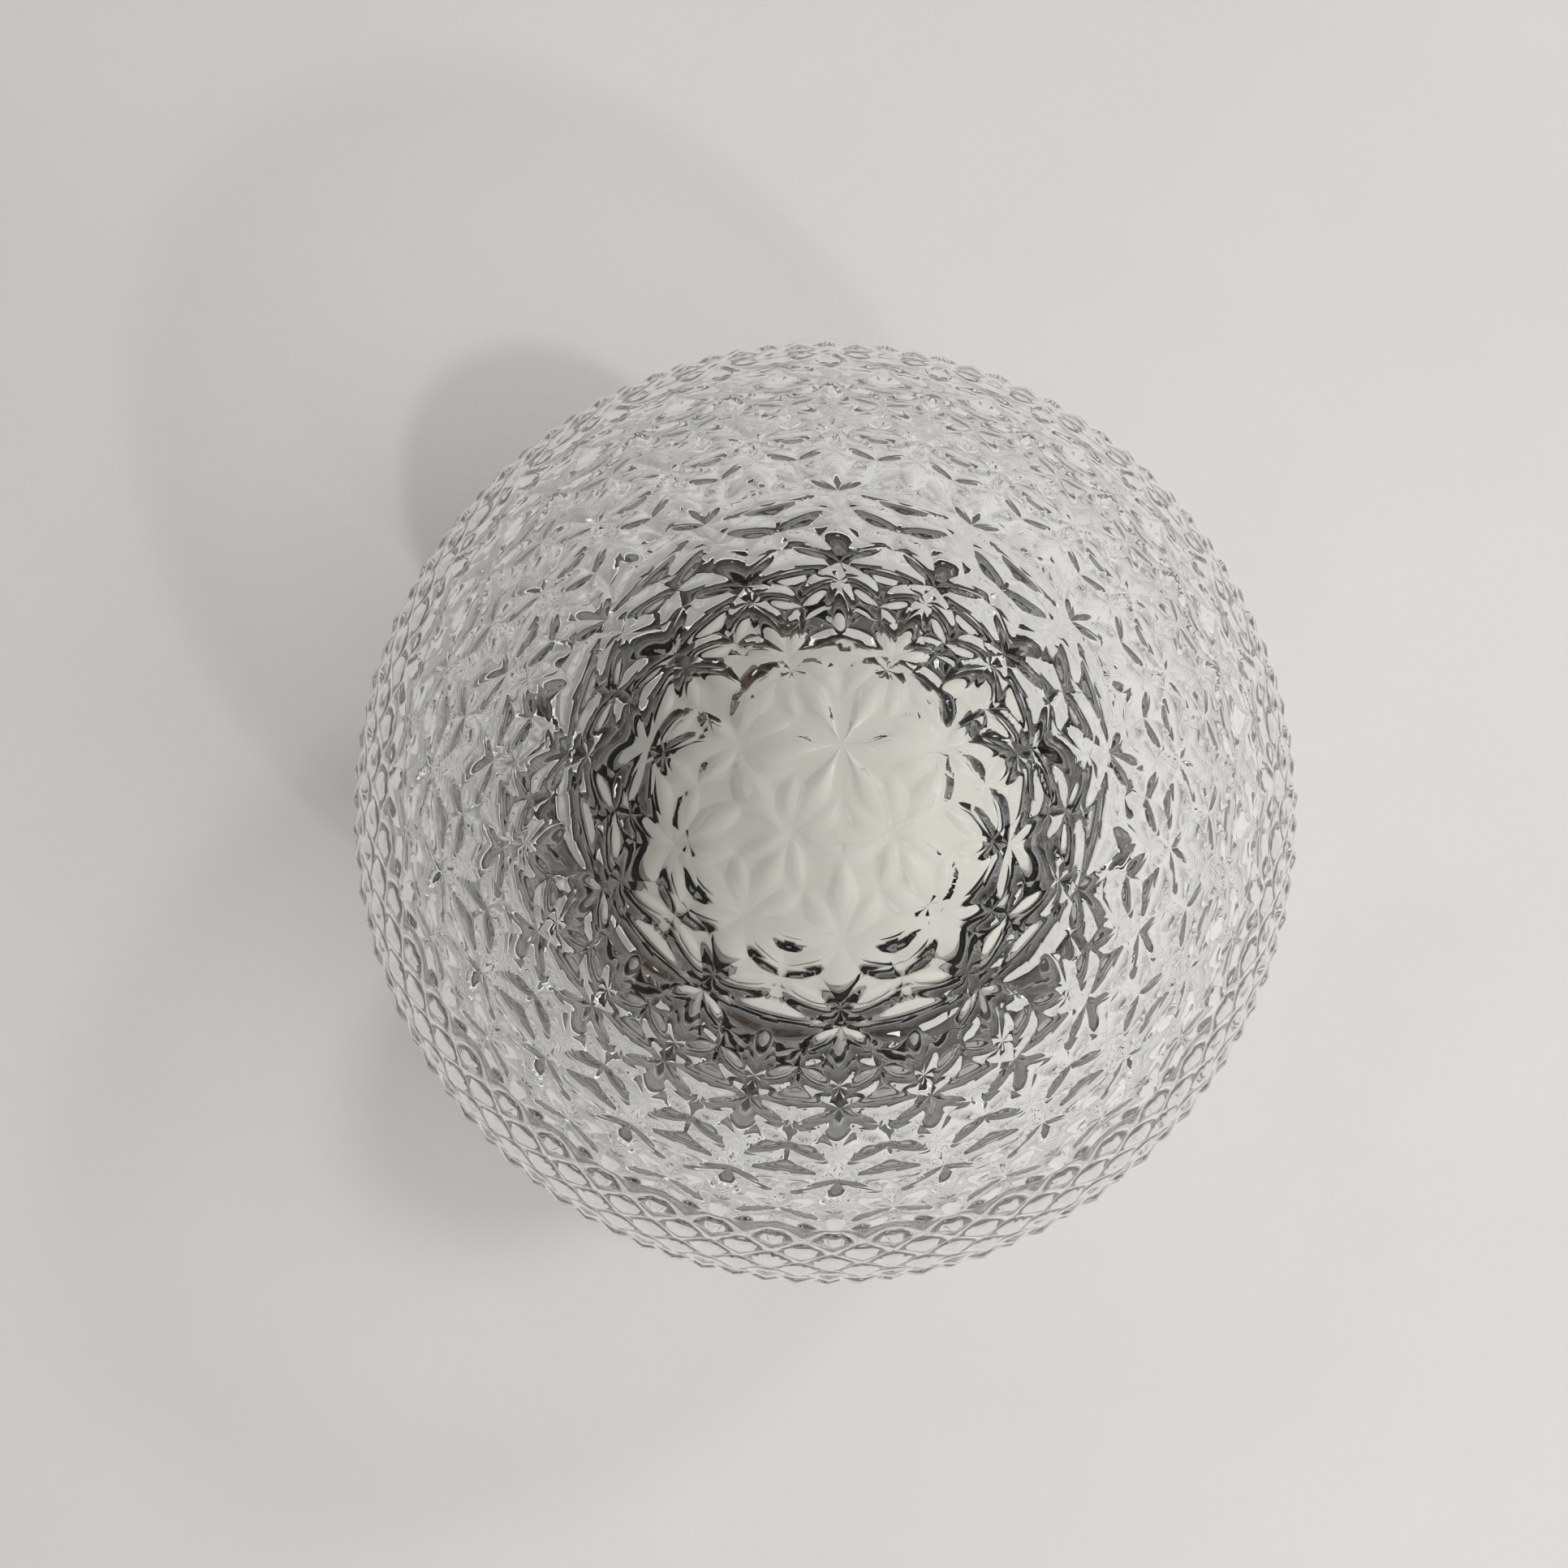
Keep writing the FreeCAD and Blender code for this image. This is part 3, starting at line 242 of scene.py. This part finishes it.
def eggArc(bm, radius, rise, drop, segments, first, last):
    # part of an upright egg's outline right of the axis, between two angles from the pole
    ring = bmesh.ops.create_circle(bm, segments=segments, radius=1.0)["verts"]
    bmesh.ops.rotate(bm, verts=ring, cent=(0, 0, 0), matrix=Matrix.Rotation(math.pi / 2, 3, "X"))
    inside = {vert: first - 0.01 < math.degrees(math.atan2(vert.co.x, vert.co.z)) < last + 0.01 for vert in ring}
    bmesh.ops.delete(bm, geom=[vert for vert in ring if not inside[vert]], context="VERTS")
    kept = [vert for vert in inside if inside[vert]]
    bmesh.ops.scale(bm, vec=(radius, 1, rise), verts=[vert for vert in kept if vert.co.z >= 0])
    bmesh.ops.scale(bm, vec=(radius, 1, drop), verts=[vert for vert in kept if vert.co.z < 0])
    bmesh.ops.translate(bm, vec=(0, 0, glass["equator"]), verts=kept)
    return kept


def chain(bm, points):
    verts = [bm.verts.new((x, 0, z)) for x, z in points]
    for first, second in zip(verts, verts[1:]):
        bm.edges.new((first, second))
    return verts


def spun(bm, verts, columns):
    # turns a chain right round the axis and tells where its two open ends are
    ends = [vert.co.copy() for vert in verts if len(vert.link_edges) == 1]
    ends.sort(key=lambda co: math.atan2(co.x, co.z - glass["equator"]))
    edges = list({edge for vert in verts for edge in vert.link_edges})
    slices = glass["slices"]
    bmesh.ops.spin(bm, geom=verts + edges, cent=(0, 0, 0), axis=(0, 0, 1), angle=2 * math.pi / slices,
                   steps=columns // slices)
    first = bm.verts[:] + bm.edges[:] + bm.faces[:]
    for index in range(1, slices):
        copied = bmesh.ops.duplicate(bm, geom=first)["geom"]
        bmesh.ops.rotate(bm, verts=[part for part in copied if isinstance(part, bmesh.types.BMVert)], cent=(0, 0, 0),
                         matrix=Matrix.Rotation(2 * math.pi * index / slices, 3, "Z"))
    bmesh.ops.remove_doubles(bm, verts=bm.verts, dist=1e-6)
    return ends


def joinTo(bm, part):
    mesh = bpy.data.meshes.new("part")
    part.to_mesh(mesh)
    part.free()
    bm.from_mesh(mesh)
    bpy.data.meshes.remove(mesh)


def rimAt(bm, co):
    found = []
    for edge in bm.edges:
        if edge.is_boundary and all(abs(vert.co.z - co.z) < 1e-6 and abs(math.hypot(vert.co.x, vert.co.y) - co.x) < 1e-6
                                    for vert in edge.verts):
            found.append(edge)
    return found


def rowPlace(angle):
    # row coordinate: whole numbers on the star rows, then one for each diamond
    rows = glass["rowAngles"]
    place = np.interp(angle, rows, np.arange(len(rows)))
    return np.where(angle > rows[-1], len(rows) - 1 + (angle - rows[-1]) / glass["diamondTurn"], place)


def cellsRound(row):
    counts = np.array(glass["rowStars"])
    return counts[np.clip(np.floor(row + 1e-6).astype(int), 0, len(counts) - 1)]


def scoop(across, swell, width, depth):
    # a lens-shaped cut with a sharp rim, and the cushion falling off beside it
    ratio = across / (width * swell + 0.0001)
    inside = np.clip(1 - ratio ** 2, 0, 1)
    beside = np.clip(1 - np.clip(ratio - 1, 0, None) / 2, 0, 1) ** 2
    return swell * (depth * inside + glass["pillow"] * beside)


def starCut(across, row):
    along = row - np.floor(row)
    near = across - np.round(across)
    side = np.abs(near)
    level = 0.5 - np.abs(along - 0.5)
    doubled = (np.floor(row) == 1) | (np.floor(row) == 3)
    inner = doubled & (along < 0.5)
    odd = np.abs(np.mod(np.round(across), 2) - 1) < 0.5
    tip = row < 0.5
    width = np.where(row < 1, glass["poleWidth"], glass["petalWidth"])
    cut = scoop(side, np.sin(math.pi * along), width, glass["petalDepth"])
    rowPhase = np.where(inner, across / 2, across)
    cut = np.maximum(cut, np.where(tip, 0, scoop(level, np.abs(np.sin(math.pi * rowPhase)), glass["petalWidth"],
                                                 glass["petalDepth"])))
    slant = scoop(np.abs(side - level), np.sin(math.pi * np.clip(side + level, 0, 1)), glass["slantWidth"],
                  glass["slantDepth"])
    return np.maximum(cut, np.where(tip | (inner & odd), 0, slant))


def diamondCut(across, row):
    rise = row - (len(glass["rowAngles"]) - 1)
    first = np.abs(np.mod(across + rise, 1) - 0.5)
    second = np.abs(np.mod(across - rise, 1) - 0.5)
    return glass["diamondDrop"] + glass["diamondDepth"] * 2 * np.maximum(first, second)


def eggAngle(co):
    # angle from the pole on the outer egg, and how far a point is off it
    up = co[:, 2] - glass["equator"]
    tall = np.where(up >= 0, glass["rise"], glass["drop"])
    out = np.hypot(co[:, 0], co[:, 1])
    return np.degrees(np.arctan2(out / glass["radius"], up / tall)), np.hypot(out / glass["radius"], up / tall) - 1, tall


def makeStarGlass():
    bm = bmesh.new()
    radius, rise, drop = glass["radius"], glass["rise"], glass["drop"]
    rims = []
    for segments, first, last, columns in ((720, 0, 9.5, 96), (900, 10, 27.6, 252), (800, 27.9, 57.6, 648),
                                           (360, 59, 119, 384), (120, 123, 145, 192)):
        zone = bmesh.new()
        rims += spun(zone, eggArc(zone, radius, rise, drop, segments, first, last), columns)
        joinTo(bm, zone)
    neck, bore, foot, soft = glass["neck"], glass["bore"], glass["foot"], glass["footRound"]
    ring = bmesh.new()
    lip = spun(ring, chain(ring, [(neck, glass["shoulder"]), (neck, 0.038), (neck, 0.034), (neck, foot + soft),
                              (neck - soft * 0.3, foot + soft * 0.3), (neck - soft, foot), (bore + soft, foot),
                              (bore + soft * 0.3, foot + soft * 0.3), (bore, foot + soft), (bore, 0.034), (bore, 0.038),
                              (bore, glass["shoulder"])]), 144)
    joinTo(bm, ring)
    rims += sorted(lip, key=lambda co: -co.x)
    bowl = bmesh.new()
    inner = spun(bowl, eggArc(bowl, glass["innerRadius"], glass["innerRise"], glass["innerDrop"], 120, 0, 144), 96)
    joinTo(bm, bowl)
    rims.append(inner[-1])
    bmesh.ops.remove_doubles(bm, verts=bm.verts, dist=1e-6)
    rims = rims[1:]
    for first, second in zip(rims[::2], rims[1::2]):
        bmesh.ops.bridge_loops(bm, edges=rimAt(bm, first) + rimAt(bm, second))
    bmesh.ops.recalc_face_normals(bm, faces=bm.faces)

    # cell coordinates for the stars, kept as the glass's own map
    bm.verts.ensure_lookup_table()
    co = np.array([vert.co for vert in bm.verts])
    angle, off, tall = eggAngle(co)
    row = rowPlace(angle)
    cells = bm.loops.layers.uv.new("cells")
    for face in bm.faces:
        centre = face.calc_center_median()
        facing = math.atan2(centre.y, centre.x)
        middle = float(np.mean([row[vert.index] for vert in face.verts]))
        count = float(cellsRound(middle))
        for loop in face.loops:
            x, y = loop.vert.co.x, loop.vert.co.y
            spot = facing if math.hypot(x, y) < 1e-7 else math.atan2(y, x)
            spot = facing + (spot - facing + math.pi) % (2 * math.pi) - math.pi
            loop[cells].uv = (spot * count / (2 * math.pi), row[loop.vert.index])

    # the cuts go in square to the outside of the egg
    across = np.arctan2(co[:, 1], co[:, 0]) * cellsRound(row) / (2 * math.pi)
    lastRow = len(glass["rowAngles"]) - 1
    cut = np.where(row < lastRow, starCut(across, row) * glass["carved"], diamondCut(across, row))
    cut = np.where((np.abs(off) < 1e-4) & (angle < glass["diamondEnd"] + 0.5), cut, 0)
    normal = np.stack([co[:, 0] / radius ** 2, co[:, 1] / radius ** 2, (co[:, 2] - glass["equator"]) / tall ** 2], 1)
    normal /= np.linalg.norm(normal, axis=1)[:, None] + 1e-12
    co -= normal * cut[:, None]
    for vert, place in zip(bm.verts, co):
        vert.co = place

    # the diamonds' valleys run corner to corner, so each face is split along its deeper corners
    for face in [face for face in bm.faces if len(face.verts) == 4]:
        corners = list(face.verts)
        if all(lastRow <= row[vert.index] and cut[vert.index] > 0 for vert in corners):
            depths = [cut[vert.index] for vert in corners]
            pick = 0 if depths[0] + depths[2] > depths[1] + depths[3] else 1
            bmesh.utils.face_split(face, corners[pick], corners[pick + 2])
    print("star glass triangles:", sum(len(face.verts) - 2 for face in bm.faces))
    return bm


def scoopGroup():
    tree, got, out = newGroup("scoopCut", [("Across", "Float", 0.0), ("Swell", "Float", 0.0), ("Width", "Float", 0.1),
                                           ("Depth", "Float", 0.0005)], [("Cut", "Float")])
    across, swell, width, depth = got.outputs[:4]
    ratio = maths(tree, "DIVIDE", across, maths(tree, "MULTIPLY_ADD", width, swell, 0.0001))
    inside = maths(tree, "SUBTRACT", 1, maths(tree, "MULTIPLY", ratio, ratio), clamp=True)
    off = maths(tree, "MAXIMUM", maths(tree, "SUBTRACT", ratio, 1), 0)
    beside = maths(tree, "SUBTRACT", 1, maths(tree, "MULTIPLY", off, 0.5), clamp=True)
    total = maths(tree, "MULTIPLY_ADD", maths(tree, "MULTIPLY", beside, beside), glass["pillow"],
                  maths(tree, "MULTIPLY", inside, depth))
    tree.links.new(maths(tree, "MULTIPLY", total, swell), out.inputs["Cut"])
    return tree


def starGroup():
    tree, got, out = newGroup("starCuts", [("Cells", "Vector", None)], [("Height", "Float")])
    parts = addNode(tree, "SeparateXYZ")
    tree.links.new(got.outputs["Cells"], parts.inputs[0])
    across, row = parts.outputs[0], parts.outputs[1]
    whole = maths(tree, "FLOOR", row)
    along = maths(tree, "SUBTRACT", row, whole)
    nearest = maths(tree, "ROUND", across)
    side = maths(tree, "ABSOLUTE", maths(tree, "SUBTRACT", across, nearest))
    level = maths(tree, "SUBTRACT", 0.5, maths(tree, "ABSOLUTE", maths(tree, "SUBTRACT", along, 0.5)))
    doubled = maths(tree, "ADD", maths(tree, "COMPARE", whole, 1, 0.1), maths(tree, "COMPARE", whole, 3, 0.1))
    inner = maths(tree, "MULTIPLY", doubled, maths(tree, "LESS_THAN", along, 0.5))
    odd = maths(tree, "GREATER_THAN", maths(tree, "FLOORED_MODULO", nearest, 2), 0.5)
    body = maths(tree, "GREATER_THAN", row, 0.5)  # the pole's star keeps only its radial petals
    pole = maths(tree, "LESS_THAN", row, 1)
    width = maths(tree, "MULTIPLY_ADD", pole, glass["poleWidth"] - glass["petalWidth"], glass["petalWidth"])
    cutters = []
    swells = (maths(tree, "SINE", maths(tree, "MULTIPLY", along, math.pi)),
              maths(tree, "ABSOLUTE", maths(tree, "SINE", maths(tree, "MULTIPLY", across, maths(
                  tree, "MULTIPLY_ADD", inner, -math.pi / 2, math.pi)))),
              maths(tree, "SINE", maths(tree, "MULTIPLY", maths(tree, "ADD", side, level), math.pi)))
    reaches = (side, level, maths(tree, "ABSOLUTE", maths(tree, "SUBTRACT", side, level)))
    for index, (reach, swell) in enumerate(zip(reaches, swells)):
        cutter = placeGroup(tree, scoopCut, Width=glass["slantWidth" if index == 2 else "petalWidth"],
                            Depth=glass["slantDepth" if index == 2 else "petalDepth"])
        tree.links.new(reach, cutter.inputs["Across"])
        tree.links.new(swell, cutter.inputs["Swell"])
        if index == 0:
            tree.links.new(width, cutter.inputs["Width"])
        cutters.append(cutter.outputs["Cut"])
    slantKept = maths(tree, "MULTIPLY", body, maths(tree, "SUBTRACT", 1, maths(tree, "MULTIPLY", inner, odd)))
    cut = maths(tree, "MAXIMUM", cutters[0], maths(tree, "MULTIPLY", cutters[1], body))
    cut = maths(tree, "MAXIMUM", cut, maths(tree, "MULTIPLY", cutters[2], slantKept))
    starry = maths(tree, "LESS_THAN", row, len(glass["rowAngles"]) - 1)
    height = maths(tree, "MULTIPLY", maths(tree, "MULTIPLY", cut, starry), glass["carved"] - 1)
    tree.links.new(height, out.inputs["Height"])
    return tree


def glassMaterial():
    material, tree, shader = newMaterial("clear_glass")
    shader.inputs["Base Color"].default_value = (0.985, 0.992, 0.988, 1)
    shader.inputs["IOR"].default_value = 1.5
    shader.inputs["Transmission Weight"].default_value = 1.0
    map = addNode(tree, "UVMap", uv_map="cells")
    stars = placeGroup(tree, starCuts)
    tree.links.new(map.outputs["UV"], stars.inputs["Cells"])
    # the mould leaves a faint skin on the fire-polished glass
    spot = addNode(tree, "TexCoord")
    skin = addNode(tree, "TexNoise", Scale=160.0, Detail=3.0)
    tree.links.new(spot.outputs["Object"], skin.inputs["Vector"])
    height = maths(tree, "MULTIPLY_ADD", skin.outputs["Fac"], 0.000012, stars.outputs["Height"])
    bump = addNode(tree, "Bump", Distance=1.0)
    tree.links.new(height, bump.inputs["Height"])
    tree.links.new(bump.outputs["Normal"], shader.inputs["Normal"])
    film = addNode(tree, "MapRange", From_Min=0.4, From_Max=0.75, To_Min=0.0, To_Max=0.004)
    tree.links.new(skin.outputs["Fac"], film.inputs["Value"])
    tree.links.new(film.outputs[0], shader.inputs["Roughness"])
    # light goes on through the glass to what stands behind it
    through = addNode(tree, "BsdfTransparent")
    edge = addNode(tree, "LayerWeight", Blend=0.35)
    dim = addNode(tree, "Mix", data_type="RGBA")
    dim.inputs[6].default_value = (0.985, 0.988, 0.985, 1)
    dim.inputs[7].default_value = (0.74, 0.75, 0.745, 1)
    tree.links.new(edge.outputs["Facing"], dim.inputs[0])
    tree.links.new(dim.outputs[2], through.inputs["Color"])
    path = addNode(tree, "LightPath")
    mix = addNode(tree, "MixShader")
    out = next(node for node in tree.nodes if node.type == "OUTPUT_MATERIAL")
    tree.links.new(path.outputs["Is Shadow Ray"], mix.inputs[0])
    tree.links.new(shader.outputs[0], mix.inputs[1])
    tree.links.new(through.outputs[0], mix.inputs[2])
    tree.links.new(mix.outputs[0], out.inputs["Surface"])
    return material


scoopCut = scoopGroup()
starCuts = starGroup()
made["clear_glass"] = glassMaterial()
starGlass = meshObject("starGlass", makeStarGlass(), made["clear_glass"], "globe")
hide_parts("glass_globe")
print("star glass made")


contactCoil = {"wire": 0.0003, "turns": 4, "perTurn": 32, "around": 10, "travel": 0.001}


def makeContactCoil(low, high):
    bm = bmesh.new()
    wire, around = contactCoil["wire"], contactCoil["around"]
    steps = contactCoil["turns"] * contactCoil["perTurn"]
    radius = high[0] - wire
    bottom, top = low[2] + wire, high[2] - wire
    rings = []
    for step in range(steps + 1):
        turn = 2 * math.pi * step / contactCoil["perTurn"]
        height = bottom + (top - bottom) * step / steps
        ring = []
        for index in range(around):
            angle = 2 * math.pi * index / around
            reach = radius + wire * math.cos(angle)
            ring.append(bm.verts.new((reach * math.cos(turn), reach * math.sin(turn), height + wire * math.sin(angle))))
        rings.append(ring)
    for first, second in zip(rings, rings[1:]):
        for index in range(around):
            after = (index + 1) % around
            bm.faces.new((first[index], second[index], second[after], first[after]))
    bm.faces.new(rings[0])
    bm.faces.new(reversed(rings[-1]))
    bmesh.ops.recalc_face_normals(bm, faces=bm.faces)
    return bm


coilLow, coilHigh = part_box("contact_spring")
coil = meshObject("contactCoil", makeContactCoil(coilLow, coilHigh), made["spring_steel"], "base")
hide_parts("contact_spring")
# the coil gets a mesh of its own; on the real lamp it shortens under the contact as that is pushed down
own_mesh(coil)
print("contact coil made")


slotOf = {row["node"]: row["material_slot"] for row in frame["record"]["subparts"]}
for node, obj in frame["nodes"].items():
    if node in ("glass_globe", "contact_spring"):
        continue
    material = made[slotOf[node]]
    if not obj.material_slots:
        obj.data.materials.append(material)
    for spot in obj.material_slots:
        spot.material = material
print("finishes placed")


room = {
    "floor": 3.0, "paint": (0.7, 0.69, 0.675), "paintDark": (0.66, 0.65, 0.635),
    "zenith": (0.004, 0.0038, 0.0036), "patch": (0.1, 0.055, 0.028), "panel": (1.5, 1.49, 1.46), "horizon": (1.25, 1.24, 1.2),
    "edge": 0.33, "soft": 0.03,
    "keyFrom": (0.58, -0.815), "keyTilt": 45, "keyPower": 6.5, "keySize": 0.06, "keyFar": 1.6,
    "fillFrom": (0.79, 0.61), "fillTilt": 40, "fillPower": 6.5, "fillSize": 0.2, "fillFar": 1.6,
    "windowFrom": (0.85, -0.35), "windowTilt": 35, "windowPower": 23.0, "windowSize": 1.8, "windowFar": 1.9,
}


def makeFloor():
    bm = bmesh.new()
    bmesh.ops.create_circle(bm, cap_ends=True, segments=96, radius=room["floor"])
    bmesh.ops.translate(bm, vec=(0, 0, -0.0002), verts=bm.verts)
    mesh = bpy.data.meshes.new("paintedSurface")
    bm.to_mesh(mesh)
    bm.free()
    floor = bpy.data.objects.new("paintedSurface", mesh)
    scene.collection.objects.link(floor)
    material, tree, shader = newMaterial("eggshellPaint")
    worn = placeGroup(tree, handling, Colour=(*room["paint"], 1), Second=(*room["paintDark"], 1), Smooth=0.55,
                      Rough=0.7, Size=6.0, Grain=900.0)
    tree.links.new(worn.outputs["Colour"], shader.inputs["Base Color"])
    tree.links.new(worn.outputs["Roughness"], shader.inputs["Roughness"])
    bump = addNode(tree, "Bump", Distance=0.00005)
    tree.links.new(worn.outputs["Height"], bump.inputs["Height"])
    tree.links.new(bump.outputs["Normal"], shader.inputs["Normal"])
    mesh.materials.append(material)


def makeRoom():
    # pale walls low down, a dark ceiling with brown and pale patches over the lamp
    world = bpy.data.worlds.new("room")
    scene.world = world
    world.use_nodes = True
    tree = world.node_tree
    back = next(node for node in tree.nodes if node.type == "BACKGROUND")
    spot = addNode(tree, "TexCoord")
    parts = addNode(tree, "SeparateXYZ")
    tree.links.new(spot.outputs["Generated"], parts.inputs[0])
    cloud = addNode(tree, "TexNoise", Scale=2.2, Detail=3.0)
    tree.links.new(spot.outputs["Generated"], cloud.inputs["Vector"])
    patch = addNode(tree, "MapRange", From_Min=0.56, From_Max=0.62)
    tree.links.new(cloud.outputs["Fac"], patch.inputs["Value"])
    dark = addNode(tree, "Mix", data_type="RGBA")
    dark.inputs[6].default_value = (*room["zenith"], 1)
    dark.inputs[7].default_value = (*room["patch"], 1)
    tree.links.new(patch.outputs[0], dark.inputs[0])
    panel = addNode(tree, "MapRange", From_Min=0.37, From_Max=0.36)
    tree.links.new(cloud.outputs["Fac"], panel.inputs["Value"])
    paned = addNode(tree, "Mix", data_type="RGBA")
    paned.inputs[7].default_value = (*room["panel"], 1)
    tree.links.new(panel.outputs[0], paned.inputs[0])
    tree.links.new(dark.outputs[2], paned.inputs[6])
    lift = addNode(tree, "MapRange", interpolation_type="SMOOTHSTEP", From_Min=room["edge"] - room["soft"],
                   From_Max=room["edge"] + room["soft"])
    tree.links.new(parts.outputs[2], lift.inputs["Value"])
    mix = addNode(tree, "Mix", data_type="RGBA")
    mix.inputs[6].default_value = (*room["horizon"], 1)
    tree.links.new(lift.outputs[0], mix.inputs[0])
    tree.links.new(paned.outputs[2], mix.inputs[7])
    tree.links.new(mix.outputs[2], back.inputs["Color"])


def makeLamp(name, way, tilt, power, size, far):
    data = bpy.data.lights.new(name, "AREA")
    data.shape = "DISK"
    data.size = size
    data.energy = power
    lamp = bpy.data.objects.new(name, data)
    scene.collection.objects.link(lamp)
    tilt = math.radians(tilt)
    aim = Vector((way[0] * math.sin(tilt), way[1] * math.sin(tilt), math.cos(tilt))).normalized()
    lamp.visible_glossy = False  # the glass and the chrome show the room, not the lamps
    lamp.visible_transmission = False
    lamp.location = Vector((0, 0, 0.05)) + aim * far
    lamp.rotation_mode = "QUATERNION"
    lamp.rotation_quaternion = aim.to_track_quat("Z", "Y")


makeFloor()
makeRoom()
makeLamp("keyLamp", room["keyFrom"], room["keyTilt"], room["keyPower"], room["keySize"], room["keyFar"])
makeLamp("window", room["windowFrom"], room["windowTilt"], room["windowPower"], room["windowSize"], room["windowFar"])
makeLamp("softLamp", room["fillFrom"], room["fillTilt"], room["fillPower"], room["fillSize"], room["fillFar"])
scene.view_settings.view_transform = "Standard"
scene.cycles.max_bounces = 24
scene.cycles.transmission_bounces = 16
scene.cycles.glossy_bounces = 8
print("room and lights made")
